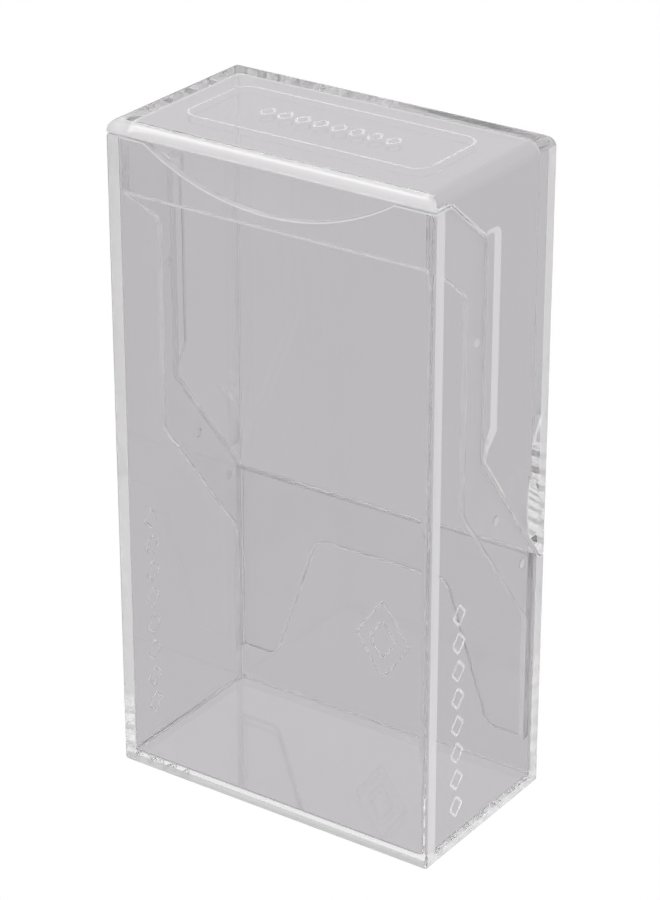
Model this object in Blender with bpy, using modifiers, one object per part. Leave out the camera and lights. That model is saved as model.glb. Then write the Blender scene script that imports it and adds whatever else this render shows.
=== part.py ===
"""Card deck box: a tall clear base with a cover that slides down inside it and lifts off.

Metres, +Z up. The origin is on the ground, under the middle of the box. X runs across the
width, the base's tall front wall faces -Y, and the cover lifts straight up, along +Z.
The seam between the two pieces runs high across the front, steps down both sides and
crosses the back low. Inside it, the cover carries on downwards as a sleeve with two legs.
"""
import math

import bmesh
import bpy
from mathutils import Matrix, Vector

# Overall size
WIDTH = 0.0710
DEPTH = 0.0395
HEIGHT = 0.1335

# Walls and fits
BASE_WALL = 0.0016          # base walls, outside the sleeve
SLEEVE_WALL = 0.00125       # the cover's sleeve, inside the base walls
SLIP_GAP = 0.00035          # between the base walls and the sleeve
SEAM_GAP = 0.0003           # between the base's rim and the cover's rim
FLOOR = 0.0020
ROOF = 0.0026
EDGE_ROUND = 0.0015         # outer edges
CORNER_ROUND = 0.0010       # upright corners of the cavities and the sleeve
EDGE_SEGMENTS = 3           # flats that each of these roundings is made of

# Seam, seen from the side: distances from the front face, the top and the ground
SEAM_FLAT_RUN = 0.00515     # level stretch behind the front face
SEAM_BROW_DROP = 0.0103     # fall of the first slope
SEAM_SIDE_RUN = 0.01755     # front face to the upright stretch
SEAM_SHOULDER_Z = 0.0773    # where the upright stretch turns into the long slope
SEAM_BACK_Z = 0.0500        # level stretch across the back
SEAM_ROUNDS = (0.0012, 0.0030, 0.0010, 0.0010)

# How far the sleeve reaches past the seam
LAP_TOP = 0.0107            # under the front stretch and the first slope
LAP_SIDE = 0.0053           # in front of the upright stretch
LAP_SLOPE = 0.0096          # under the long slope
SLEEVE_ROUNDS = (0.0012, 0.0040, 0.0030, 0.0030)

# Legs of the sleeve, at the back corners
LEG_Z = 0.0105              # lowest point of the cover
LEG_RETURN = 0.0011         # how far a leg wraps round onto the side wall
ARCH_TOP_Z = 0.0395         # cut-out between the legs
ARCH_TOP_HALF = 0.0144
ARCH_FOOT_HALF = 0.0243
ARCH_TOP_ROUND = 0.0040
ARCH_FOOT_ROUND = 0.0030

# Thumb notch in the base's front rim: an arc across most of the width
NOTCH_HALF = 0.0270
NOTCH_DEPTH = 0.0080

# Friction nubs on the sleeve
NUB_RADIUS = 0.00115
NUB_TIP_RADIUS = 0.00092
NUB_CLEAR = 0.00012         # what a nub leaves free of the slip gap
NUB_LAP = 0.0040            # from the long slope of the seam
NUB_RUNS = (0.0147, 0.0308)  # along the long slope, from the shoulder
NUB_SIDE_DROP = 0.0320      # the upper nub, below the top
NUB_SIDE_LAP = 0.0023       # the upper nub, in front of the upright stretch

# Finger grips on the cover's sides: a strip beside the seam and a dish above the long slope
STRIP_WIDTH = 0.0037
STRIP_DEPTH = 0.00035
STRIP_RISE = 0.0018         # above the foot of the first slope
STRIP_TAPER = 0.0050        # height over which its lower end narrows to the shoulder
STRIP_TAPER_ROUND = 0.0012
STRIP_TOP_ROUND = 0.0022
DISH_DEPTH = 0.0007
DISH_HALF_LENGTH = 0.0095   # along the long slope
DISH_HALF_WIDTH = 0.0050    # across it
DISH_RUN = 0.0195           # its middle, along the long slope from the shoulder
DISH_LAP = 0.0026           # its middle, above the long slope
DISH_BULGE = 0.0021         # how far the ball that makes it reaches along X

# Lozenge pips engraved in the walls
PIP_DEPTH = 0.0003
PIP_COUNT = 8
SIDE_PIP = (0.0044, 0.0048)
SIDE_PIP_PITCH = 0.0058
SIDE_PIP_RUN = 0.0099       # from the front face
SIDE_PIP_LOW_Z = 0.0090
ROOF_PIP = (0.0030, 0.0046)
ROOF_PIP_PITCH = 0.0039
BACK_PIP = (0.0130, 0.0180)
BACK_PIP_Z = 0.0207

# Panel line engraved in the roof
PANEL_HALF = (0.0264, 0.0098)
PANEL_ROUND = 0.0035
PANEL_LINE = 0.0006

# Plastic
BASE_COLOUR = (0.48, 0.47, 0.49)
COVER_COLOUR = (0.52, 0.51, 0.53)
PLASTIC_ROUGHNESS = 0.12
PLASTIC_CLARITY = 0.9
PLASTIC_IOR = 1.5
PLASTIC_COVERAGE = 0.4      # how solid it looks in the viewport

OVERRUN = 0.0050            # how far a cutter runs past the faces it cuts
FRONT = -DEPTH / 2
BACK = DEPTH / 2
SLEEVE_INSET = BASE_WALL + SLIP_GAP
CAVITY_INSET = SLEEVE_INSET + SLEEVE_WALL

# Turns a flat outline's own axes into the box's: (y, z) seen from the side, (x, z) seen
# from the front, and (x, y) seen from above
SIDE_VIEW = Matrix(((0, 0, 1), (1, 0, 0), (0, 1, 0)))
FRONT_VIEW = Matrix(((1, 0, 0), (0, 0, -1), (0, 1, 0)))
TOP_VIEW = Matrix.Identity(3)


# ---------------------------------------------------------------- helpers

def clear_scene():
    for obj in list(bpy.data.objects):
        bpy.data.objects.remove(obj, do_unlink=True)


def make_collection(name):
    collection = bpy.data.collections.new(name)
    bpy.context.scene.collection.children.link(collection)
    return collection


def add_object(name, mesh, collection):
    obj = bpy.data.objects.new(name, mesh)
    collection.objects.link(obj)
    return obj


def mark_cutter(obj):
    obj.hide_render = True
    obj.display_type = "WIRE"
    return obj


def cut(target, tool, operation="DIFFERENCE"):
    modifier = target.modifiers.new(tool.name, "BOOLEAN")
    modifier.operation = operation
    modifier.solver = "EXACT"
    modifier.object = tool


def add_block(name, low, high, collection):
    """A plain block between two opposite corners."""
    low = Vector(low)
    high = Vector(high)
    size = high - low
    bm = bmesh.new()
    bmesh.ops.create_cube(bm, size=1.0)
    bmesh.ops.scale(bm, vec=size, verts=bm.verts)
    bmesh.ops.translate(bm, vec=(low + high) / 2, verts=bm.verts)
    mesh = bpy.data.meshes.new(name)
    bm.to_mesh(mesh)
    bm.free()
    return add_object(name, mesh, collection)


def round_uprights(obj, radius):
    """Rounds only the upright edges of a block."""
    weights = obj.data.attributes.new("bevel_weight_edge", "FLOAT", "EDGE")
    for edge in obj.data.edges:
        start, end = (obj.data.vertices[i].co for i in edge.vertices)
        if abs(start.z - end.z) > radius:
            weights.data[edge.index].value = 1.0
    bevel = obj.modifiers.new("upright_corners", "BEVEL")
    bevel.limit_method = "WEIGHT"
    bevel.width = radius
    bevel.segments = EDGE_SEGMENTS


def add_prism(name, outline, view, middle, thickness, collection):
    """A flat outline, thickened about the plane that lies `middle` along the view's axis."""
    curve = bpy.data.curves.new(name, "CURVE")
    curve.dimensions = "2D"
    curve.fill_mode = "BOTH"
    curve.extrude = thickness / 2
    spline = curve.splines.new("POLY")
    spline.points.add(len(outline) - 1)
    for point, (u, v) in zip(spline.points, outline):
        point.co = (u, v, 0.0, 1.0)
    spline.use_cyclic_u = True
    flat = add_object(name + "_outline", curve, collection)
    flat.matrix_world = Matrix.Translation(view @ Vector((0, 0, middle))) @ view.to_4x4()
    bpy.context.view_layer.update()
    evaluated = flat.evaluated_get(bpy.context.evaluated_depsgraph_get())
    mesh = bpy.data.meshes.new_from_object(evaluated)
    bm = bmesh.new()
    bm.from_mesh(mesh)
    bmesh.ops.remove_doubles(bm, verts=bm.verts, dist=1e-6)
    bmesh.ops.recalc_face_normals(bm, faces=bm.faces)
    bm.to_mesh(mesh)
    bm.free()
    prism = add_object(name, mesh, collection)
    prism.matrix_world = flat.matrix_world
    bpy.data.objects.remove(flat, do_unlink=True)
    return prism


def rounded(points, radii, segments=5):
    """An outline's corners turned into arcs. A radius of 0 keeps the corner."""
    result = []
    count = len(points)
    for i, radius in enumerate(radii):
        corner = Vector(points[i])
        if radius == 0:
            result.append(tuple(corner))
            continue
        before = (Vector(points[i - 1]) - corner).normalized()
        after = (Vector(points[(i + 1) % count]) - corner).normalized()
        half = before.angle(after) / 2
        centre = corner + (before + after).normalized() * radius / math.sin(half)
        start = corner + before * radius / math.tan(half) - centre
        end = corner + after * radius / math.tan(half) - centre
        sweep = start.angle_signed(end)
        for step in range(segments + 1):
            angle = -sweep * step / segments
            turned = Matrix.Rotation(angle, 2) @ start
            result.append(tuple(centre + turned))
    return result


def line_crossing(point, direction, other, other_direction):
    """Where two lines in a plane meet."""
    across = Vector((-other_direction.y, other_direction.x))
    reach = (other - point).dot(across) / direction.dot(across)
    return point + direction * reach


def shifted(path, distances):
    """An open path with each stretch moved sideways, to its right, by its own distance."""
    path = [Vector(point) for point in path]
    directions = [(b - a).normalized() for a, b in zip(path, path[1:])]
    rights = [Vector((d.y, -d.x)) for d in directions]
    starts = [a + right * gap for a, right, gap in zip(path, rights, distances)]
    result = [starts[0]]
    for i in range(1, len(directions)):
        result.append(line_crossing(starts[i - 1], directions[i - 1], starts[i], directions[i]))
    result.append(path[-1] + rights[-1] * distances[-1])
    return [tuple(point) for point in result]


def clear_plastic(name, colour):
    """Clear moulded plastic, polished."""
    material = bpy.data.materials.new(name)
    material.use_nodes = True
    shader = material.node_tree.nodes["Principled BSDF"]
    shader.inputs["Base Color"].default_value = (*colour, 1.0)
    shader.inputs["Roughness"].default_value = PLASTIC_ROUGHNESS
    shader.inputs["Metallic"].default_value = 0.0
    shader.inputs["Transmission Weight"].default_value = PLASTIC_CLARITY
    shader.inputs["IOR"].default_value = PLASTIC_IOR
    material.diffuse_color = (*colour, PLASTIC_COVERAGE)
    return material


# ---------------------------------------------------------------- outlines

def seam_path():
    """The seam seen from the side, as (y, z) corners from front to back."""
    side = FRONT + SEAM_SIDE_RUN
    top = HEIGHT - ROOF
    return [
        (FRONT - OVERRUN, top),
        (FRONT + SEAM_FLAT_RUN, top),
        (side, top - SEAM_BROW_DROP),
        (side, SEAM_SHOULDER_Z),
        (BACK - BASE_WALL, SEAM_BACK_Z),
        (BACK + OVERRUN, SEAM_BACK_Z),
    ]


def above_seam(gap):
    """Everything behind and above the seam, moved towards the base by a gap."""
    path = shifted(seam_path(), [gap] * 5)
    corners = path + [(BACK + OVERRUN, HEIGHT + OVERRUN), (FRONT - OVERRUN, HEIGHT + OVERRUN)]
    return rounded(corners, (0, *SEAM_ROUNDS, 0, 0, 0))


def below_seam():
    """Everything in front of and below the seam."""
    corners = seam_path() + [(BACK + OVERRUN, -OVERRUN), (FRONT - OVERRUN, -OVERRUN)]
    return rounded(corners, (0, *SEAM_ROUNDS, 0, 0, 0))


def below_sleeve():
    """Everything in front of and below the sleeve's free edge, down to below its legs."""
    path = shifted(seam_path(), (LAP_TOP, LAP_TOP, LAP_SIDE, LAP_SLOPE, 0))[:4]
    slope_start = Vector(path[3])
    seam = seam_path()
    slope = Vector(seam[4]) - Vector(seam[3])
    leg_y = BACK - CAVITY_INSET - LEG_RETURN
    leg_top = line_crossing(slope_start, slope, Vector((leg_y, 0)), Vector((0, 1)))
    corners = path + [
        tuple(leg_top),
        (leg_y, -OVERRUN),
        (FRONT - OVERRUN, -OVERRUN),
    ]
    return rounded(corners, (0, *SLEEVE_ROUNDS, 0, 0))


def between_legs():
    """The arch between the legs, and everything below the legs."""
    wide = WIDTH / 2 + OVERRUN
    corners = [
        (-wide, LEG_Z),
        (-ARCH_FOOT_HALF, LEG_Z),
        (-ARCH_TOP_HALF, ARCH_TOP_Z),
        (ARCH_TOP_HALF, ARCH_TOP_Z),
        (ARCH_FOOT_HALF, LEG_Z),
        (wide, LEG_Z),
        (wide, -OVERRUN),
        (-wide, -OVERRUN),
    ]
    foot = ARCH_FOOT_ROUND
    top = ARCH_TOP_ROUND
    return rounded(corners, (0, foot, top, top, foot, 0, 0, 0))


def grip_strip():
    """The shallow strip beside the seam's upright stretch, on the cover's side."""
    side = FRONT + SEAM_SIDE_RUN
    top = HEIGHT - ROOF - SEAM_BROW_DROP + STRIP_RISE
    low = SEAM_SHOULDER_Z
    corners = [
        (side - SEAM_GAP, low),
        (side, low),
        (side + STRIP_WIDTH, low + STRIP_TAPER),
        (side + STRIP_WIDTH, top),
        (side - SEAM_GAP, top),
    ]
    return rounded(corners, (0, 0, STRIP_TAPER_ROUND, STRIP_TOP_ROUND, 0))


def lozenge(centre, size):
    u, v = centre
    half_u, half_v = size[0] / 2, size[1] / 2
    return [(u, v - half_v), (u + half_u, v), (u, v + half_v), (u - half_u, v)]


def rounded_panel(half_x, half_y, radius):
    corners = [(-half_x, -half_y), (half_x, -half_y), (half_x, half_y), (-half_x, half_y)]
    return rounded(corners, [radius] * 4, segments=EDGE_SEGMENTS)


# ---------------------------------------------------------------- shared blocks

def add_outer_block(name, collection):
    """The whole box as one rounded block, which both pieces start from."""
    low = (-WIDTH / 2, FRONT, 0)
    high = (WIDTH / 2, BACK, HEIGHT)
    block = add_block(name, low, high, collection)
    bevel = block.modifiers.new("outer_edges", "BEVEL")
    bevel.width = EDGE_ROUND
    bevel.segments = EDGE_SEGMENTS
    return block


def add_inner_block(name, inset, low_z, high_z, collection):
    """A block that keeps one inset from all four outer walls."""
    low = (-WIDTH / 2 + inset, FRONT + inset, low_z)
    high = (WIDTH / 2 - inset, BACK - inset, high_z)
    block = add_block(name, low, high, collection)
    round_uprights(block, CORNER_ROUND)
    return block


def add_side_prism(name, outline, collection):
    """An outline seen from the side, through both side walls."""
    return add_prism(name, outline, SIDE_VIEW, 0, WIDTH + 2 * OVERRUN, collection)


# ---------------------------------------------------------------- base

def make_base(parts, cutters, material):
    base = add_outer_block("base", parts)
    base.data.materials.append(material)

    cavity = add_inner_block("base_cavity", BASE_WALL, FLOOR, HEIGHT + OVERRUN, cutters)
    cut(base, mark_cutter(cavity))
    rim = add_side_prism("base_rim", above_seam(SEAM_GAP), cutters)
    cut(base, mark_cutter(rim))
    cut(base, make_thumb_notch(cutters))
    for tool in make_base_pips(cutters):
        cut(base, tool)
    return base


def make_thumb_notch(cutters):
    """A cylinder along Y that takes an arc out of the front rim."""
    radius = (NOTCH_HALF ** 2 + NOTCH_DEPTH ** 2) / (2 * NOTCH_DEPTH)
    rim_z = HEIGHT - ROOF - SEAM_GAP
    bm = bmesh.new()
    bmesh.ops.create_cone(
        bm, cap_ends=True, segments=96, radius1=radius, radius2=radius, depth=2 * OVERRUN
    )
    bmesh.ops.rotate(bm, matrix=FRONT_VIEW, verts=bm.verts)
    bmesh.ops.translate(bm, vec=(0, FRONT, rim_z - NOTCH_DEPTH + radius), verts=bm.verts)
    mesh = bpy.data.meshes.new("thumb_notch")
    bm.to_mesh(mesh)
    bm.free()
    return mark_cutter(add_object("thumb_notch", mesh, cutters))


def make_base_pips(cutters):
    """A column of pips on each side wall and one large pip on the back wall."""
    tools = []
    for label, side in (("left", -1), ("right", 1)):
        for i in range(PIP_COUNT):
            centre = (FRONT + SIDE_PIP_RUN, SIDE_PIP_LOW_Z + i * SIDE_PIP_PITCH)
            outline = lozenge(centre, SIDE_PIP)
            name = f"{label}_pip_{i + 1}"
            tool = add_prism(name, outline, SIDE_VIEW, side * WIDTH / 2, 2 * PIP_DEPTH, cutters)
            tools.append(mark_cutter(tool))
    outline = lozenge((0, BACK_PIP_Z), BACK_PIP)
    tool = add_prism("back_pip", outline, FRONT_VIEW, -BACK, 2 * PIP_DEPTH, cutters)
    tools.append(mark_cutter(tool))
    return tools


# ---------------------------------------------------------------- cover

def make_cover(parts, cutters, material):
    cover = add_outer_block("cover", parts)
    cover.data.materials.append(material)

    cavity = add_inner_block("card_cavity", CAVITY_INSET, -OVERRUN, HEIGHT - ROOF, cutters)
    cut(cover, mark_cutter(cavity))
    cut(cover, make_base_room(cutters))
    free_edge = add_side_prism("sleeve_edge", below_sleeve(), cutters)
    cut(cover, mark_cutter(free_edge))
    arch = add_prism(
        "leg_arch", between_legs(), FRONT_VIEW, 0, DEPTH + 2 * OVERRUN, cutters
    )
    cut(cover, mark_cutter(arch))
    for tool in make_grips(cutters):
        cut(cover, tool)
    for tool in make_roof_marks(cutters):
        cut(cover, tool)
    for nub in make_nubs(cutters):
        cut(cover, nub, "UNION")
    return cover


def make_base_room(cutters):
    """The room that the base's walls take up: below the seam and outside the sleeve."""
    room = add_side_prism("base_room", below_seam(), cutters)
    core = add_inner_block("sleeve_core", SLEEVE_INSET, -2 * OVERRUN, HEIGHT + OVERRUN, cutters)
    cut(room, mark_cutter(core))
    return mark_cutter(room)


def make_grips(cutters):
    """On each side, the strip beside the seam and the finger dish above the long slope."""
    tools = []
    for label, side in (("left", -1), ("right", 1)):
        strip = add_prism(
            f"{label}_strip", grip_strip(), SIDE_VIEW, side * WIDTH / 2, 2 * STRIP_DEPTH, cutters
        )
        tools.append(mark_cutter(strip))
        tools.append(mark_cutter(add_dish_ball(f"{label}_dish", side, cutters)))
    return tools


def add_dish_ball(name, side, collection):
    """A stretched ball that sinks a shallow dish into a side wall, along the long slope."""
    shoulder, slope_end = (Vector(point) for point in seam_path()[3:5])
    along = (slope_end - shoulder).normalized()
    upward = Vector((-along.y, along.x))
    middle = shoulder + along * DISH_RUN + upward * DISH_LAP
    spread = 1 / math.sqrt(1 - (1 - DISH_DEPTH / DISH_BULGE) ** 2)
    bm = bmesh.new()
    bmesh.ops.create_uvsphere(bm, u_segments=32, v_segments=20, radius=1.0)
    radii = (DISH_BULGE, DISH_HALF_LENGTH * spread, DISH_HALF_WIDTH * spread)
    bmesh.ops.scale(bm, vec=radii, verts=bm.verts)
    tilt = Matrix.Rotation(math.atan2(along.y, along.x), 3, "X")
    bmesh.ops.rotate(bm, matrix=tilt, verts=bm.verts)
    centre = (side * (WIDTH / 2 + DISH_BULGE - DISH_DEPTH), middle.x, middle.y)
    bmesh.ops.translate(bm, vec=centre, verts=bm.verts)
    mesh = bpy.data.meshes.new(name)
    bm.to_mesh(mesh)
    bm.free()
    return add_object(name, mesh, collection)


def make_roof_marks(cutters):
    """The panel line round the roof and the row of pips inside it."""
    tools = []
    half_x, half_y = PANEL_HALF
    outer = rounded_panel(half_x, half_y, PANEL_ROUND)
    inner = rounded_panel(half_x - PANEL_LINE, half_y - PANEL_LINE, PANEL_ROUND - PANEL_LINE)
    line = add_prism("panel_line", outer, TOP_VIEW, HEIGHT, 2 * PIP_DEPTH, cutters)
    field = add_prism("panel_field", inner, TOP_VIEW, HEIGHT, 4 * PIP_DEPTH, cutters)
    cut(line, mark_cutter(field))
    tools.append(mark_cutter(line))
    for i in range(PIP_COUNT):
        x = (i - (PIP_COUNT - 1) / 2) * ROOF_PIP_PITCH
        outline = lozenge((x, 0), ROOF_PIP)
        tool = add_prism(f"roof_pip_{i + 1}", outline, TOP_VIEW, HEIGHT, 2 * PIP_DEPTH, cutters)
        tools.append(mark_cutter(tool))
    return tools


def nub_places():
    """(y, z) of the nubs on one side of the sleeve."""
    seam = seam_path()
    shoulder = Vector(seam[3])
    along = (Vector(seam[4]) - shoulder).normalized()
    inward = Vector((along.y, -along.x))
    places = [Vector((shoulder.x - NUB_SIDE_LAP, HEIGHT - NUB_SIDE_DROP))]
    for run in NUB_RUNS:
        places.append(shoulder + along * run + inward * NUB_LAP)
    return places


def make_nubs(cutters):
    """Low round nubs that grip the base's side walls when the cover is on."""
    tools = []
    height = SLIP_GAP - NUB_CLEAR
    root = SLEEVE_WALL / 2
    face = WIDTH / 2 - SLEEVE_INSET
    for label, side in (("left", -1), ("right", 1)):
        outward = Matrix.Rotation(side * math.pi / 2, 3, "Y")
        for i, (y, z) in enumerate(nub_places()):
            bm = bmesh.new()
            bmesh.ops.create_cone(
                bm,
                cap_ends=True,
                segments=16,
                radius1=NUB_RADIUS,
                radius2=NUB_TIP_RADIUS,
                depth=root + height,
            )
            bmesh.ops.rotate(bm, matrix=outward, verts=bm.verts)
            middle = side * (face + (height - root) / 2)
            bmesh.ops.translate(bm, vec=(middle, y, z), verts=bm.verts)
            mesh = bpy.data.meshes.new(f"{label}_nub_{i + 1}")
            bm.to_mesh(mesh)
            bm.free()
            tools.append(mark_cutter(add_object(f"{label}_nub_{i + 1}", mesh, cutters)))
    return tools


# ---------------------------------------------------------------- assembly

def smooth_rounds(obj):
    obj.data.shade_smooth()
    obj.data.set_sharp_from_angle(angle=math.radians(35))


def main():
    clear_scene()
    parts = make_collection("card_deck_box")
    cutters = make_collection("card_deck_box_cutters")
    base_plastic = clear_plastic("base_plastic", BASE_COLOUR)
    cover_plastic = clear_plastic("cover_plastic", COVER_COLOUR)
    base = make_base(parts, cutters, base_plastic)
    cover = make_cover(parts, cutters, cover_plastic)
    smooth_rounds(base)
    smooth_rounds(cover)


main()
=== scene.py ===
"""Card deck box, the looks: two clear mouldings, their plastic, and a plain white studio."""
import math

import bmesh
import bpy
from mathutils import Matrix, Vector


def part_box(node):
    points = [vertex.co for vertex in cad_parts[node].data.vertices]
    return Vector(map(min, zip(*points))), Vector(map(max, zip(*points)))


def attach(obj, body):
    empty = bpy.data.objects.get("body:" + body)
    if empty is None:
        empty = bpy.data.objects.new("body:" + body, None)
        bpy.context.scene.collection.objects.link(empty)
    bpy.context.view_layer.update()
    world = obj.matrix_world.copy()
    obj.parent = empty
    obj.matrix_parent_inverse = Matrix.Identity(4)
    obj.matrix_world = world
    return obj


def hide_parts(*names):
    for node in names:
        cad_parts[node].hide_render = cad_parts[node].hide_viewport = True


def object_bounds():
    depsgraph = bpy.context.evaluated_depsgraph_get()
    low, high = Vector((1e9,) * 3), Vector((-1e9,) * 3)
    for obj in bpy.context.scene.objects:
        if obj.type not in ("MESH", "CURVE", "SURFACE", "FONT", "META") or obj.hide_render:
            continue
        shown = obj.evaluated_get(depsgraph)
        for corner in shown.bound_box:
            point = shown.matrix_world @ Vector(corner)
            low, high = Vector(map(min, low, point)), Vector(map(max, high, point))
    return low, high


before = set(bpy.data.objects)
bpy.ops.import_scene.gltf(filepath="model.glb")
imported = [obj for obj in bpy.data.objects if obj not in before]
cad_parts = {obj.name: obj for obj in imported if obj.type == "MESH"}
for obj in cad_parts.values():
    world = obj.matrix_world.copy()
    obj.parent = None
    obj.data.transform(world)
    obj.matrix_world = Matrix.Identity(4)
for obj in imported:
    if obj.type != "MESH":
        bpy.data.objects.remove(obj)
CAD_LOW, CAD_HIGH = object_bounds()

MM = 0.001

# ---------------------------------------------------------------- sizes
# The outside comes from the frame. What lies inside it repeats the design's own sizes.

HALF_W = CAD_HIGH.x
HALF_D = CAD_HIGH.y
FRONT = CAD_LOW.y
BACK = CAD_HIGH.y
HEIGHT = CAD_HIGH.z
SLEEVE_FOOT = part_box("cover")[0].z      # lowest point of the cover's legs
SEAM_GAP = 0.3 * MM
SEAM_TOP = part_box("base")[1].z + SEAM_GAP

BASE_WALL = 1.6 * MM
SLIP_GAP = 0.35 * MM
SLEEVE_WALL = 1.25 * MM
SLEEVE_INSET = BASE_WALL + SLIP_GAP
CAVITY_INSET = SLEEVE_INSET + SLEEVE_WALL
FLOOR = 2.0 * MM
OVERRUN = 5 * MM                        # how far a cutter runs past what it cuts
SIDE_OVERRUN = 1 * MM                   # how far the grip strip runs back past the seam
SURFACE_SLACK = 0.01 * MM               # how near a face must be to count as on a plane
MERGE_GAP = 0.002 * MM                  # points closer than this become one
SLIVER = 0.001 * MM                     # shorter edges than this are dissolved

ROOF_ROUND = 2.3 * MM                   # roof edges
FLOOR_ROUND = 0.6 * MM
UPRIGHT_ROUND = 0.5 * MM                # upright corners
# WALL_END is also the width of the bands along the corners that carry the edge slot's painted
# highlight.
WALL_END = 2.9 * MM                     # how much of a wall's end shows along a corner
CAVITY_ROUND = 1.0 * MM                 # upright corners inside the base
SLEEVE_CORNER = 0.7 * MM                # upright corners of the sleeve
FLOOR_FILLET = 0.8 * MM
ROOF_FILLET = 0.8 * MM
CUT_EDGE_ROUND = 0.25 * MM              # rims, the sleeve's free edge and the notch

SEAM_FLAT_RUN = 5.15 * MM
SEAM_BROW_DROP = 10.3 * MM
SEAM_SIDE_RUN = 17.55 * MM
SEAM_SHOULDER_Z = 77.3 * MM
SEAM_BACK_Z = 50.0 * MM
SEAM_ROUNDS = [1.2 * MM, 3.0 * MM, 1.0 * MM, 1.0 * MM]

LAPS = [10.7 * MM, 10.7 * MM, 5.3 * MM, 9.6 * MM, 0]
SLEEVE_ROUNDS = [1.2 * MM, 4.0 * MM, 3.0 * MM, 3.0 * MM]
LEG_RETURN = 1.1 * MM
ARCH_TOP_Z = 39.5 * MM
ARCH_TOP_HALF = 14.4 * MM
ARCH_FOOT_HALF = 24.3 * MM

NOTCH_HALF = 27.0 * MM
NOTCH_DEPTH = 8.0 * MM

NUB_RADIUS = 1.15 * MM
NUB_HEIGHT = 0.23 * MM
NUB_TAPER = 0.75                        # its top radius as a share of its root radius
NUB_LAP = 4.0 * MM
NUB_RUNS = [14.7 * MM, 30.8 * MM]
NUB_SIDE_DROP = 32.0 * MM
NUB_SIDE_LAP = 2.3 * MM

STRIP_WIDTH = 3.7 * MM
STRIP_DEPTH = 0.60 * MM
STRIP_SLOPE = 1.3 * MM                  # width over which it runs out at its far side and top
STRIP_RISE = 1.8 * MM
STRIP_TAPER = 5.0 * MM
STRIP_TAPER_ROUND = 1.2 * MM
STRIP_TOP_ROUND = 2.1 * MM
DISH_DEPTH = 0.7 * MM
DISH_HALF_LENGTH = 9.5 * MM             # along the long slope of the seam
DISH_HALF_WIDTH = 5.0 * MM
DISH_RUN = 19.5 * MM                    # its middle, along the slope from the shoulder
DISH_LAP = 2.6 * MM                     # its middle, above the slope
DISH_BULGE = 2.1 * MM                   # reach of the ball that makes it

PIP_COUNT = 8
PIP_GROOVE = 0.30 * MM                  # radius of the round-bottomed grooves
PIP_CORNER = 0.5 * MM
SIDE_PIP = (4.0 * MM, 4.4 * MM)
SIDE_PIP_PITCH = 5.8 * MM
SIDE_PIP_RUN = 9.9 * MM
SIDE_PIP_LOW_Z = 9.0 * MM
ROOF_PIP = (2.7 * MM, 4.4 * MM)
ROOF_PIP_PITCH = 3.9 * MM
BACK_PIPS = ((12.4 * MM, 17.4 * MM), (6.2 * MM, 8.7 * MM))
BACK_PIP_Z = 20.7 * MM
PANEL_HALF = (26.1 * MM, 9.6 * MM)
PANEL_ROUND = 3.4 * MM
PANEL_GROOVE = 0.26 * MM

SIDE_VIEW = Matrix(((0, 0, 1), (1, 0, 0), (0, 1, 0)))
FRONT_VIEW = Matrix(((1, 0, 0), (0, 0, -1), (0, 1, 0)))
TOP_VIEW = Matrix.Identity(3)

# Only the wall slot is plain clear plastic. The others paint light and shade on with haze: a
# faint painted sheen, painted highlights on edges and marks, and painted shade on the floor's
# front strip.
WALL, FAINT_SHEEN, EDGE_HIGHLIGHT, MARK_HIGHLIGHT, FOOT_SHADE = range(5)       # material slots of both mouldings


# ---------------------------------------------------------------- mesh helpers

def object_from(bm, name):
    mesh = bpy.data.meshes.new(name)
    bm.to_mesh(mesh)
    bm.free()
    obj = bpy.data.objects.new(name, mesh)
    bpy.context.scene.collection.objects.link(obj)
    return obj


def bake_modifiers(obj):
    """Applies an object's modifiers to its mesh."""
    depsgraph = bpy.context.evaluated_depsgraph_get()
    mesh = bpy.data.meshes.new_from_object(obj.evaluated_get(depsgraph))
    obj.modifiers.clear()
    obj.data = mesh


def give_slots(obj, slot):
    """An empty material slot for each look, the clear wall and the painted-light hazes, with
    every face on one of them.
    """
    for _ in PLASTIC_AND_PAINTED_LIGHT:
        obj.data.materials.append(None)
    for face in obj.data.polygons:
        face.material_index = slot


def boolean(target, tool, slot=None, operation="DIFFERENCE"):
    """Cuts the target with a tool, or joins them, and throws the tool away. The faces
    that the tool leaves behind get one material slot, or keep the tool's own."""
    if slot is not None:
        give_slots(tool, slot)
    modifier = target.modifiers.new("boolean", "BOOLEAN")
    modifier.operation = operation
    modifier.solver = "EXACT"
    modifier.object = tool
    bake_modifiers(target)
    bpy.data.objects.remove(tool, do_unlink=True)


def rounded(points, radii, segments=10):
    """An outline's corners turned into arcs. A radius of 0 keeps the corner."""
    result = []
    count = len(points)
    for i, radius in enumerate(radii):
        corner = Vector(points[i])
        if radius == 0:
            result.append(corner)
            continue
        before = (Vector(points[i - 1]) - corner).normalized()
        after = (Vector(points[(i + 1) % count]) - corner).normalized()
        half = before.angle(after) / 2
        centre = corner + (before + after).normalized() * radius / math.sin(half)
        start = corner + before * radius / math.tan(half) - centre
        end = corner + after * radius / math.tan(half) - centre
        sweep = start.angle_signed(end)
        for step in range(segments + 1):
            turn = Matrix.Rotation(-sweep * step / segments, 2)
            result.append(centre + turn @ start)
    return result


def rounded_rectangle(half_u, half_v, radius, segments=10):
    corners = [(-half_u, -half_v), (half_u, -half_v), (half_u, half_v), (-half_u, half_v)]
    return rounded(corners, [radius] * 4, segments)


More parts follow.
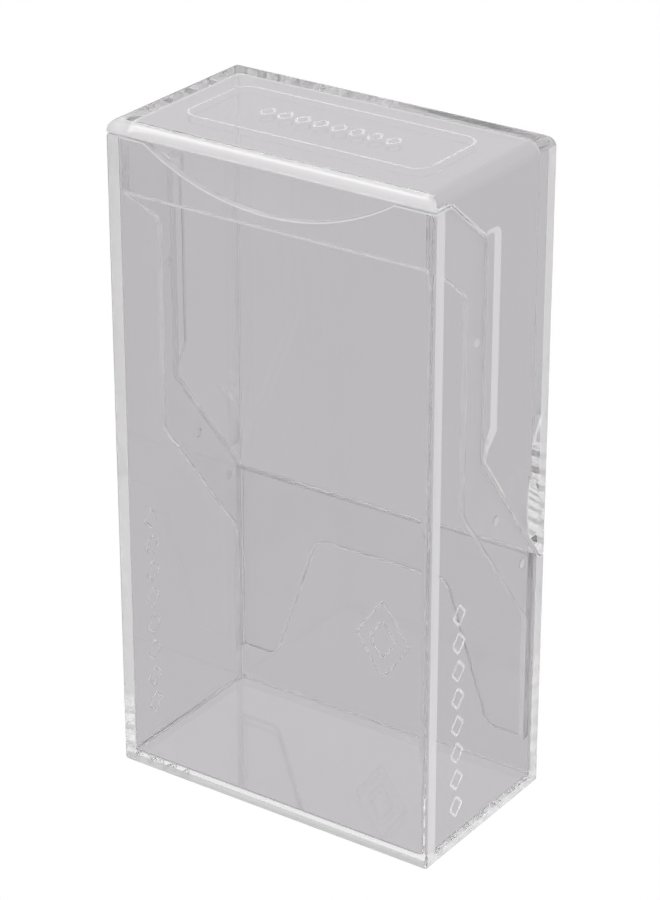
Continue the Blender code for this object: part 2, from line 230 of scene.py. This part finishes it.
def rounded_box(name, inset, low, high, corner, low_round, high_round, segments=12):
    """A box inset from the outer walls, lofted through rounded rectangles, with its own
    rounding along the lowest and the highest edges."""
    levels = []
    for radius, z, way in ((low_round, low, 1), (high_round, high, -1)):
        arc = []
        for step in range(segments + 1):
            angle = math.pi / 2 * step / segments
            pull = radius * (1 - math.sin(angle))
            arc.append((pull, z + way * radius * (1 - math.cos(angle))))
        arc = arc if radius else arc[:1]
        levels += arc if way > 0 else arc[::-1]
    bm = bmesh.new()
    rings = []
    for pull, z in levels:
        outline = rounded_rectangle(HALF_W - inset - pull, HALF_D - inset - pull, corner)
        rings.append([bm.verts.new((x, y, z)) for x, y in outline])
    for below, above in zip(rings, rings[1:]):
        for i in range(len(below)):
            j = (i + 1) % len(below)
            bm.faces.new((below[i], below[j], above[j], above[i]))
    bm.faces.new(rings[0][::-1])
    bm.faces.new(rings[-1])
    return object_from(bm, name)


def prism(name, outline, view, middle, thickness):
    """A flat outline thickened about the plane at `middle` along the view's axis. Its
    faces are made in a fixed order, so that what is cut with it is the same each run."""
    bm = bmesh.new()
    rings = []
    for level in (middle - thickness / 2, middle + thickness / 2):
        rings.append([bm.verts.new(view @ Vector((u, v, level))) for u, v in outline])
    count = len(outline)
    for i in range(count):
        j = (i + 1) % count
        bm.faces.new((rings[0][i], rings[0][j], rings[1][j], rings[1][i]))
    for ring in rings:
        bm.faces.new(ring)
    bmesh.ops.recalc_face_normals(bm, faces=bm.faces)
    return object_from(bm, name)


def add_groove(bm, outline, view, middle, radius, sides=10):
    """Adds a closed round tube along an outline. Sunk to its middle in a wall, it cuts a
    groove with a round bottom."""
    count = len(outline)
    rings = []
    for i, point in enumerate(outline):
        before = (point - outline[i - 1]).normalized()
        after = (outline[(i + 1) % count] - point).normalized()
        along = (before + after).normalized()
        across = Vector((along.y, -along.x)) / max(0.5, along.dot(after))
        ring = []
        for step in range(sides):
            angle = 2 * math.pi * (step + 0.5) / sides
            flat = point + across * radius * math.cos(angle)
            place = view @ Vector((flat.x, flat.y, middle + radius * math.sin(angle)))
            ring.append(bm.verts.new(place))
        rings.append(ring)
    faces = []
    for i in range(count):
        here, there = rings[i], rings[(i + 1) % count]
        for k in range(sides):
            m = (k + 1) % sides
            faces.append(bm.faces.new((here[k], here[m], there[m], there[k])))
    bmesh.ops.recalc_face_normals(bm, faces=faces)


def line_crossing(point, direction, other, other_direction):
    across = Vector((-other_direction.y, other_direction.x))
    return point + direction * ((other - point).dot(across) / direction.dot(across))


def shifted(path, distances):
    """An open path with each stretch moved to its right by its own distance."""
    path = [Vector(point) for point in path]
    ways = [(b - a).normalized() for a, b in zip(path, path[1:])]
    rights = [Vector((way.y, -way.x)) for way in ways]
    starts = [a + right * gap for a, right, gap in zip(path, rights, distances)]
    result = [starts[0]]
    for i in range(1, len(ways)):
        result.append(line_crossing(starts[i - 1], ways[i - 1], starts[i], ways[i]))
    result.append(path[-1] + rights[-1] * distances[-1])
    return result


def soften_cut_edges(obj):
    """Rounds the sharp edges that the cuts left, and puts the rounds on the edge slot, whose
    haze paints them as bright strips: a painted highlight.
    """
    bevel = obj.modifiers.new("cut_edges", "BEVEL")
    bevel.width = CUT_EDGE_ROUND
    bevel.segments = 4
    bevel.limit_method = "ANGLE"
    bevel.angle_limit = math.radians(40)
    bevel.use_clamp_overlap = False
    bevel.material = EDGE_HIGHLIGHT
    bake_modifiers(obj)


def tidy_mesh(obj):
    bm = bmesh.new()
    bm.from_mesh(obj.data)
    bmesh.ops.remove_doubles(bm, verts=bm.verts, dist=MERGE_GAP)
    bmesh.ops.dissolve_degenerate(bm, edges=bm.edges, dist=SLIVER)
    bm.to_mesh(obj.data)
    bm.free()


def smooth_by_face_area(obj):
    """Smooth rounds that leave the flat walls flat."""
    obj.data.shade_smooth()
    obj.data.set_sharp_from_angle(angle=math.radians(50))
    weighted = obj.modifiers.new("flat_walls", "WEIGHTED_NORMAL")
    weighted.keep_sharp = True
    weighted.weight = 100
    bake_modifiers(obj)


# ---------------------------------------------------------------- outlines

def seam_path():
    """The seam seen from the side, as (y, z) corners from front to back."""
    side = FRONT + SEAM_SIDE_RUN
    return [
        Vector((FRONT - OVERRUN, SEAM_TOP)),
        Vector((FRONT + SEAM_FLAT_RUN, SEAM_TOP)),
        Vector((side, SEAM_TOP - SEAM_BROW_DROP)),
        Vector((side, SEAM_SHOULDER_Z)),
        Vector((BACK - BASE_WALL, SEAM_BACK_Z)),
        Vector((BACK + OVERRUN, SEAM_BACK_Z)),
    ]


def above_seam():
    path = shifted(seam_path(), [SEAM_GAP] * 5)
    corners = path + [(BACK + OVERRUN, HEIGHT + OVERRUN), (FRONT - OVERRUN, HEIGHT + OVERRUN)]
    return rounded(corners, [0, *SEAM_ROUNDS, 0, 0, 0])


def below_seam():
    corners = seam_path() + [(BACK + OVERRUN, -OVERRUN), (FRONT - OVERRUN, -OVERRUN)]
    return rounded(corners, [0, *SEAM_ROUNDS, 0, 0, 0])


def below_sleeve():
    path = shifted(seam_path(), LAPS)[:4]
    seam = seam_path()
    leg_y = BACK - CAVITY_INSET - LEG_RETURN
    leg_top = line_crossing(path[3], seam[4] - seam[3], Vector((leg_y, 0)), Vector((0, 1)))
    corners = path + [leg_top, (leg_y, -OVERRUN), (FRONT - OVERRUN, -OVERRUN)]
    return rounded(corners, [0, *SLEEVE_ROUNDS, 0, 0])


def between_legs():
    wide = HALF_W + OVERRUN
    corners = [
        (-wide, SLEEVE_FOOT),
        (-ARCH_FOOT_HALF, SLEEVE_FOOT),
        (-ARCH_TOP_HALF, ARCH_TOP_Z),
        (ARCH_TOP_HALF, ARCH_TOP_Z),
        (ARCH_FOOT_HALF, SLEEVE_FOOT),
        (wide, SLEEVE_FOOT),
        (wide, -OVERRUN),
        (-wide, -OVERRUN),
    ]
    return rounded(corners, [0, 3 * MM, 4 * MM, 4 * MM, 3 * MM, 0, 0, 0])


def grip_strip(inset):
    """The strip's outline, drawn in from its far side, top and foot by an inset."""
    side = FRONT + SEAM_SIDE_RUN
    top = SEAM_TOP - SEAM_BROW_DROP + STRIP_RISE - inset
    far = side + STRIP_WIDTH - inset
    low = SEAM_SHOULDER_Z + inset
    corners = [
        (side - SIDE_OVERRUN, low),
        (side, low),
        (far, low + STRIP_TAPER),
        (far, top),
        (side - SIDE_OVERRUN, top),
    ]
    return rounded(corners, [0, 0, STRIP_TAPER_ROUND, STRIP_TOP_ROUND - inset, 0])


def lozenge(u, v, size):
    half_u, half_v = size[0] / 2, size[1] / 2
    corners = [(u, v - half_v), (u + half_u, v), (u, v + half_v), (u - half_u, v)]
    return rounded(corners, [PIP_CORNER] * 4, segments=4)


# ---------------------------------------------------------------- the two mouldings

def outer_box(name):
    """The whole box, with its rounded front and back edges on the edge slot, whose haze
    paints them as bright strips: a painted highlight.
    """
    box = rounded_box(name, 0, 0, HEIGHT, UPRIGHT_ROUND, FLOOR_ROUND, ROOF_ROUND)
    give_slots(box, WALL)
    for face in box.data.polygons:
        if abs(face.normal.y) > 0.3 and 0.001 < abs(face.normal.z) < 0.999:
            face.material_index = EDGE_HIGHLIGHT
    return box


def mark_wall_ends(obj):
    """Gives bands of the outer faces slots of their own: the ends of the side walls, one
    end each of the front and back walls, the floor's edge, and the end of each finger
    dish next to the back."""
    # These bands are painted light: the wall ends, the floor's side edges and the dish ends
    # get the edge slot's painted highlight, the floor's front strip the foot slot's painted
    # shade, and its back strip the faint painted sheen.
    end_x, end_y = HALF_W - WALL_END, HALF_D - WALL_END
    cuts = [((sign * end_x, 0, 0), (1, 0, 0)) for sign in (-1, 1)]
    cuts += [((0, sign * end_y, 0), (0, 1, 0)) for sign in (-1, 1)]
    cuts.append(((0, 0, FLOOR), (0, 0, 1)))
    bm = bmesh.new()
    bm.from_mesh(obj.data)
    for place, way in cuts:
        outer = [
            face for face in bm.faces
            if abs(face.calc_center_median().x) > HALF_W - SURFACE_SLACK
            or abs(face.calc_center_median().y) > HALF_D - SURFACE_SLACK
        ]
        edges = dict.fromkeys(edge for face in outer for edge in face.edges)
        verts = dict.fromkeys(vert for face in outer for vert in face.verts)
        parts = list(verts) + list(edges) + outer
        bmesh.ops.bisect_plane(bm, geom=parts, dist=SLIVER, plane_co=place, plane_no=way)
    for face in bm.faces:
        x, y, z = face.calc_center_median()
        if z < FLOOR and y < FRONT + FLOOR_ROUND:
            face.material_index = FOOT_SHADE
        elif face.material_index != WALL:
            continue
        elif z < FLOOR and abs(x) > HALF_W - FLOOR_ROUND:
            face.material_index = EDGE_HIGHLIGHT
        elif z < FLOOR and y > BACK - FLOOR_ROUND:
            face.material_index = FAINT_SHEEN
        elif (
            HALF_W - DISH_DEPTH < abs(x) < HALF_W - SURFACE_SLACK
            and y > BACK - 2 * WALL_END
            and SEAM_BACK_Z < z < SEAM_SHOULDER_Z
        ):
            face.material_index = EDGE_HIGHLIGHT
        elif abs(x) > HALF_W - SURFACE_SLACK and abs(y) > end_y:
            face.material_index = EDGE_HIGHLIGHT
        elif abs(y) > HALF_D - SURFACE_SLACK and abs(x) > end_x and x * y > 0:
            face.material_index = EDGE_HIGHLIGHT
    bm.to_mesh(obj.data)
    bm.free()


def side_prism(name, outline):
    """An outline seen from the side, through the whole box."""
    return prism(name, outline, SIDE_VIEW, 0, 2 * (HALF_W + OVERRUN))


def make_base():
    base = outer_box("base_moulding")
    cavity = rounded_box(
        "cavity", BASE_WALL, FLOOR, HEIGHT + OVERRUN, CAVITY_ROUND, FLOOR_FILLET, 0
    )
    boolean(base, cavity, WALL)
    # the rim's and the notch's cut faces take the edge slot: haze painted on as a bright
    # highlight
    boolean(base, side_prism("rim", above_seam()), EDGE_HIGHLIGHT)
    radius = (NOTCH_HALF ** 2 + NOTCH_DEPTH ** 2) / (2 * NOTCH_DEPTH)
    notch_z = SEAM_TOP - SEAM_GAP - NOTCH_DEPTH + radius
    arc = [
        Vector((math.cos(a), math.sin(a))) * radius + Vector((0, notch_z))
        for a in (2 * math.pi * i / 256 for i in range(256))
    ]
    boolean(base, prism("notch", arc, FRONT_VIEW, -FRONT, 2 * OVERRUN), EDGE_HIGHLIGHT)
    tidy_mesh(base)
    soften_cut_edges(base)
    grooves = bmesh.new()
    for i in range(PIP_COUNT):
        outline = lozenge(FRONT + SIDE_PIP_RUN, SIDE_PIP_LOW_Z + i * SIDE_PIP_PITCH, SIDE_PIP)
        for side in (-1, 1):
            add_groove(grooves, outline, SIDE_VIEW, side * HALF_W, PIP_GROOVE)
    for size in BACK_PIPS:
        add_groove(grooves, lozenge(0, BACK_PIP_Z, size), FRONT_VIEW, -BACK, PIP_GROOVE)
    # the grooves take the mark slot: haze painted on as bright strokes
    boolean(base, object_from(grooves, "grooves"), MARK_HIGHLIGHT)
    tidy_mesh(base)
    mark_wall_ends(base)
    smooth_by_face_area(base)
    return base


def make_cover():
    cover = outer_box("cover_moulding")
    cavity = rounded_box(
        "cavity", CAVITY_INSET, -OVERRUN, SEAM_TOP, SLEEVE_CORNER, 0, ROOF_FILLET
    )
    boolean(cover, cavity, WALL)
    room = side_prism("room", below_seam())
    # the seam's cut faces take the edge slot's painted highlight, and the sleeve's outer
    # faces the faint painted sheen
    give_slots(room, EDGE_HIGHLIGHT)
    core = rounded_box(
        "core", SLEEVE_INSET, -2 * OVERRUN, HEIGHT + OVERRUN, SLEEVE_CORNER, 0, 0
    )
    boolean(room, core, FAINT_SHEEN)
    boolean(cover, room)
    # the sleeve's free edge and the arch between the legs are cut onto the edge slot's
    # painted highlight
    boolean(cover, side_prism("edge", below_sleeve()), EDGE_HIGHLIGHT)
    boolean(cover, prism("arch", between_legs(), FRONT_VIEW, 0, 2 * (HALF_D + OVERRUN)), EDGE_HIGHLIGHT)
    tidy_mesh(cover)
    soften_cut_edges(cover)
    for side in (-1, 1):
        boolean(cover, grip_strip_tool(side))
        boolean(cover, grip_dish_tool(side), WALL)
    # the nubs take the mark slot: haze painted on as bright glints
    for side in (-1, 1):
        for y, z in nub_places():
            boolean(cover, nub(side, y, z), MARK_HIGHLIGHT, "UNION")
    grooves = bmesh.new()
    panel = rounded_rectangle(*PANEL_HALF, PANEL_ROUND)
    add_groove(grooves, panel, TOP_VIEW, HEIGHT, PANEL_GROOVE)
    for i in range(PIP_COUNT):
        x = (i - (PIP_COUNT - 1) / 2) * ROOF_PIP_PITCH
        add_groove(grooves, lozenge(x, 0, ROOF_PIP), TOP_VIEW, HEIGHT, PIP_GROOVE)
    # the roof's grooves take the mark slot: haze painted on as bright strokes
    boolean(cover, object_from(grooves, "grooves"), MARK_HIGHLIGHT)
    tidy_mesh(cover)
    mark_wall_ends(cover)
    smooth_by_face_area(cover)
    return cover


def grip_strip_tool(side):
    """The strip beside the seam's upright stretch, with a sloping far side and top."""
    bm = bmesh.new()
    rings = []
    for depth, inset in ((-STRIP_DEPTH, -STRIP_SLOPE), (STRIP_DEPTH, STRIP_SLOPE)):
        x = side * (HALF_W - depth)
        rings.append([bm.verts.new((x, y, z)) for y, z in grip_strip(inset)])
    count = len(rings[0])
    for i in range(count):
        j = (i + 1) % count
        bm.faces.new((rings[0][i], rings[0][j], rings[1][j], rings[1][i]))
    for ring in rings:
        bm.faces.new(ring)
    bmesh.ops.recalc_face_normals(bm, faces=bm.faces)
    strip = object_from(bm, "strip")
    give_slots(strip, EDGE_HIGHLIGHT)
    # the strip's sloping sides take the edge slot's haze, a painted highlight; its sunk floor
    # stays clear wall
    for face in strip.data.polygons:
        if abs(face.normal.x) > 0.999:
            face.material_index = WALL
    return strip


def add_ball(bm, around=128, rows=96):
    """Adds a ball of radius 1, with its points and faces in a fixed order."""
    rings = []
    for row in range(1, rows):
        drop = math.pi * row / rows
        ring = []
        for step in range(around):
            turn = 2 * math.pi * step / around
            flat = Vector((math.cos(turn), math.sin(turn), 0)) * math.sin(drop)
            ring.append(bm.verts.new((flat.x, flat.y, math.cos(drop))))
        rings.append(ring)
    top, foot = bm.verts.new((0, 0, 1)), bm.verts.new((0, 0, -1))
    for i in range(around):
        j = (i + 1) % around
        bm.faces.new((top, rings[0][i], rings[0][j]))
        for above, below in zip(rings, rings[1:]):
            bm.faces.new((above[i], below[i], below[j], above[j]))
        bm.faces.new((foot, rings[-1][j], rings[-1][i]))


def grip_dish_tool(side):
    """A stretched ball that sinks a shallow finger dish along the seam's long slope."""
    seam = seam_path()
    along = (seam[4] - seam[3]).normalized()
    upward = Vector((-along.y, along.x))
    middle = seam[3] + along * DISH_RUN + upward * DISH_LAP
    spread = 1 / math.sqrt(1 - (1 - DISH_DEPTH / DISH_BULGE) ** 2)
    bm = bmesh.new()
    add_ball(bm)
    radii = (DISH_BULGE, DISH_HALF_LENGTH * spread, DISH_HALF_WIDTH * spread)
    bmesh.ops.scale(bm, vec=radii, verts=bm.verts)
    tilt = Matrix.Rotation(math.atan2(along.y, along.x), 3, "X")
    bmesh.ops.rotate(bm, matrix=tilt, verts=bm.verts)
    centre = (side * (HALF_W + DISH_BULGE - DISH_DEPTH), middle.x, middle.y)
    bmesh.ops.translate(bm, vec=centre, verts=bm.verts)
    return object_from(bm, "dish")


def nub_places():
    seam = seam_path()
    along = (seam[4] - seam[3]).normalized()
    inward = Vector((along.y, -along.x))
    places = [Vector((seam[3].x - NUB_SIDE_LAP, HEIGHT - NUB_SIDE_DROP))]
    for run in NUB_RUNS:
        places.append(seam[3] + along * run + inward * NUB_LAP)
    return places


def nub(side, y, z):
    """A low round nub on the sleeve's outer face."""
    root = SLEEVE_WALL / 2
    bm = bmesh.new()
    bmesh.ops.create_cone(
        bm,
        cap_ends=True,
        segments=48,
        radius1=NUB_RADIUS,
        radius2=NUB_RADIUS * NUB_TAPER,
        depth=root + NUB_HEIGHT,
    )
    bmesh.ops.rotate(bm, matrix=Matrix.Rotation(side * math.pi / 2, 3, "Y"), verts=bm.verts)
    middle = side * (HALF_W - SLEEVE_INSET + (NUB_HEIGHT - root) / 2)
    bmesh.ops.translate(bm, vec=(middle, y, z), verts=bm.verts)
    return object_from(bm, "nub")


# ---------------------------------------------------------------- plastic

def clear_plastic(name, tint, haze, roughness):
    """Clear plastic, with the faint waviness of a moulding and a share of haze. Lit by the
    studio's even haze light, that haze paints highlights and shade on every slot but the
    wall.
    """
    material = bpy.data.materials.new(name)
    material.use_nodes = True
    tree = material.node_tree
    nodes, links = tree.nodes, tree.links
    shader = nodes["Principled BSDF"]
    shader.inputs["Transmission Weight"].default_value = 1.0 - haze
    shader.inputs["IOR"].default_value = 1.49

    place = nodes.new("ShaderNodeTexCoord").outputs["Object"]

    def noise(scale, detail):
        node = nodes.new("ShaderNodeTexNoise")
        node.inputs["Scale"].default_value = scale
        node.inputs["Detail"].default_value = detail
        links.new(place, node.inputs["Vector"])
        return node.outputs["Fac"]

    def spread(value, low, high):
        node = nodes.new("ShaderNodeMapRange")
        node.inputs["From Min"].default_value = 0.3
        node.inputs["From Max"].default_value = 0.7
        node.inputs["To Min"].default_value = low
        node.inputs["To Max"].default_value = high
        links.new(value, node.inputs["Value"])
        return node.outputs["Result"]

    rough = spread(noise(220, 3), roughness / 2, roughness * 3 / 2)
    links.new(rough, shader.inputs["Roughness"])

    shade = nodes.new("ShaderNodeMix")
    shade.data_type = "RGBA"
    shade.inputs["A"].default_value = (*tint, 1)
    shade.inputs["B"].default_value = (*(c * 0.985 for c in tint), 1)
    links.new(spread(noise(35, 2), 0, 1), shade.inputs["Factor"])
    links.new(shade.outputs["Result"], shader.inputs["Base Color"])

    bump = nodes.new("ShaderNodeBump")
    bump.inputs["Strength"].default_value = 0.15
    bump.inputs["Distance"].default_value = 0.02 * MM
    links.new(noise(60, 2), bump.inputs["Height"])
    links.new(bump.outputs["Normal"], shader.inputs["Normal"])
    return material


def dress(obj, body, tint):
    """The looks of one moulding: clear plastic on the wall slot, and painted sheen, painted
    highlights and painted shade on the others.
    """
    for slot, (finish, (haze, roughness, shade)) in enumerate(PLASTIC_AND_PAINTED_LIGHT.items()):
        colour = [c * shade for c in tint]
        obj.data.materials[slot] = clear_plastic(f"{body}_{finish}", colour, haze, roughness)
    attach(obj, body)
    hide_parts(body)


# ---------------------------------------------------------------- studio

# Share of haze, roughness and shade, slot by slot, chosen for their look in this studio. The
# wall is clear plastic; the haze and shade of the other slots are painted light and painted
# shade.
PLASTIC_AND_PAINTED_LIGHT = {
    "wall": (0.0, 0.015, 1.0),
    # painted sheen: a faint haze that lightens the sleeve and the back strip of the floor
    "sleeve": (0.08, 0.015, 1.0),
    # painted highlight: haze that lights edges, cut rims, wall ends and dish ends as bright
    # strips
    "edge": (0.40, 0.03, 0.88),
    # painted highlight: haze that lights the grooves and nubs as bright strokes
    "mark": (0.4, 0.05, 1.0),
    # painted shade: a grey haze that darkens the front strip of the floor
    "foot": (0.7, 0.05, 0.5),
}
GREY = (0.528, 0.514, 0.528)            # the sweep that the plastic shows behind itself
HAZE_LIGHT = 1.5                        # what falls on the haze in the plastic
LENS = 128.3
VIEW_AZIMUTH = 34.79                    # degrees, from the front towards +X
VIEW_ELEVATION = 25.52                  # degrees
VIEW_HEIGHT = 69.4 * MM                 # the height that the camera aims at
VIEW_DISTANCE = 0.600
MOST_BOUNCES = 64
BASE_TINT = (0.985, 0.98, 0.985)
COVER_TINT = (0.99, 0.985, 0.99)
SKY = (                                 # brightness at the sine of each elevation
    (0.03, None),
    (0.20, 0.82),
    (0.42, 0.88),
    (1.00, 1.00),
)


def light_by_path(tree, background, out):
    """Shows plain white to the camera, an even bright light to the plastic's haze, and
    the given colour to what the plastic bends and mirrors."""
    nodes, links = tree.nodes, tree.links
    path = nodes.new("ShaderNodeLightPath")
    scattered = nodes.new("ShaderNodeMath")
    scattered.operation = "GREATER_THAN"
    scattered.inputs[1].default_value = 0.5
    links.new(path.outputs["Diffuse Depth"], scattered.inputs[0])
    haze = nodes.new("ShaderNodeMix")
    haze.data_type = "RGBA"
    haze.inputs["B"].default_value = (HAZE_LIGHT, HAZE_LIGHT, HAZE_LIGHT, 1)
    links.new(scattered.outputs[0], haze.inputs["Factor"])
    if isinstance(background, tuple):
        haze.inputs["A"].default_value = (*background, 1)
    else:
        links.new(background, haze.inputs["A"])
    seen = nodes.new("ShaderNodeMix")
    seen.data_type = "RGBA"
    seen.inputs["B"].default_value = (1, 1, 1, 1)
    links.new(path.outputs["Is Camera Ray"], seen.inputs["Factor"])
    links.new(haze.outputs["Result"], seen.inputs["A"])
    on_surface = out.type == "OUTPUT_MATERIAL"
    light = nodes.new("ShaderNodeEmission" if on_surface else "ShaderNodeBackground")
    links.new(seen.outputs["Result"], light.inputs["Color"])
    links.new(light.outputs[0], out.inputs["Surface"])


def make_world():
    """A soft white studio: a grey sweep low down and a bright ceiling above it."""
    world = bpy.data.worlds.new("studio")
    bpy.context.scene.world = world
    world.use_nodes = True
    tree = world.node_tree
    nodes, links = tree.nodes, tree.links
    nodes.clear()
    out = nodes.new("ShaderNodeOutputWorld")
    way = nodes.new("ShaderNodeTexCoord").outputs["Generated"]
    split = nodes.new("ShaderNodeSeparateXYZ")
    links.new(way, split.inputs[0])
    ramp = nodes.new("ShaderNodeValToRGB")
    links.new(split.outputs["Z"], ramp.inputs["Fac"])
    stops = ramp.color_ramp.elements
    while len(stops) < len(SKY):
        stops.new(0.5)
    brightest = SKY[-1][1]
    for stop, (sine, light) in zip(stops, SKY):
        stop.position = sine
        colour = GREY if light is None else (light,) * 3
        stop.color = (*(c / brightest for c in colour), 1)
    lift = nodes.new("ShaderNodeVectorMath")
    lift.operation = "SCALE"
    lift.inputs["Scale"].default_value = brightest
    links.new(ramp.outputs["Color"], lift.inputs[0])
    light_by_path(tree, lift.outputs[0], out)


def make_floor():
    """A plain white floor."""
    bm = bmesh.new()
    bmesh.ops.create_grid(bm, x_segments=1, y_segments=1, size=3.0)
    bmesh.ops.translate(bm, vec=(0, 0, -0.05 * MM), verts=bm.verts)
    floor = object_from(bm, "floor")
    material = bpy.data.materials.new("floor_paper")
    material.use_nodes = True
    tree = material.node_tree
    tree.nodes.clear()
    light_by_path(tree, GREY, tree.nodes.new("ShaderNodeOutputMaterial"))
    floor.data.materials.append(material)


def make_camera():
    """From the front right, a little above."""
    camera = bpy.data.cameras.new("camera")
    camera.lens = LENS
    camera.sensor_width = 36
    camera.clip_start = 0.01
    camera.clip_end = 20
    obj = bpy.data.objects.new("camera", camera)
    bpy.context.scene.collection.objects.link(obj)
    azimuth = math.radians(VIEW_AZIMUTH)
    elevation = math.radians(VIEW_ELEVATION)
    back = Vector((
        math.sin(azimuth) * math.cos(elevation),
        -math.cos(azimuth) * math.cos(elevation),
        math.sin(elevation),
    ))
    target = Vector((0, 0, VIEW_HEIGHT))
    obj.location = target + back * VIEW_DISTANCE
    obj.rotation_mode = "QUATERNION"
    obj.rotation_quaternion = (-back).to_track_quat("-Z", "Y")
    bpy.context.scene.camera = obj


def main():
    bpy.context.scene.view_settings.view_transform = "Standard"
    bounces = bpy.context.scene.cycles
    bounces.max_bounces = MOST_BOUNCES
    bounces.diffuse_bounces = 16
    bounces.glossy_bounces = MOST_BOUNCES
    bounces.transmission_bounces = MOST_BOUNCES
    make_camera()
    make_world()
    make_floor()

    dress(make_base(), "base", BASE_TINT)
    dress(make_cover(), "cover", COVER_TINT)


main()
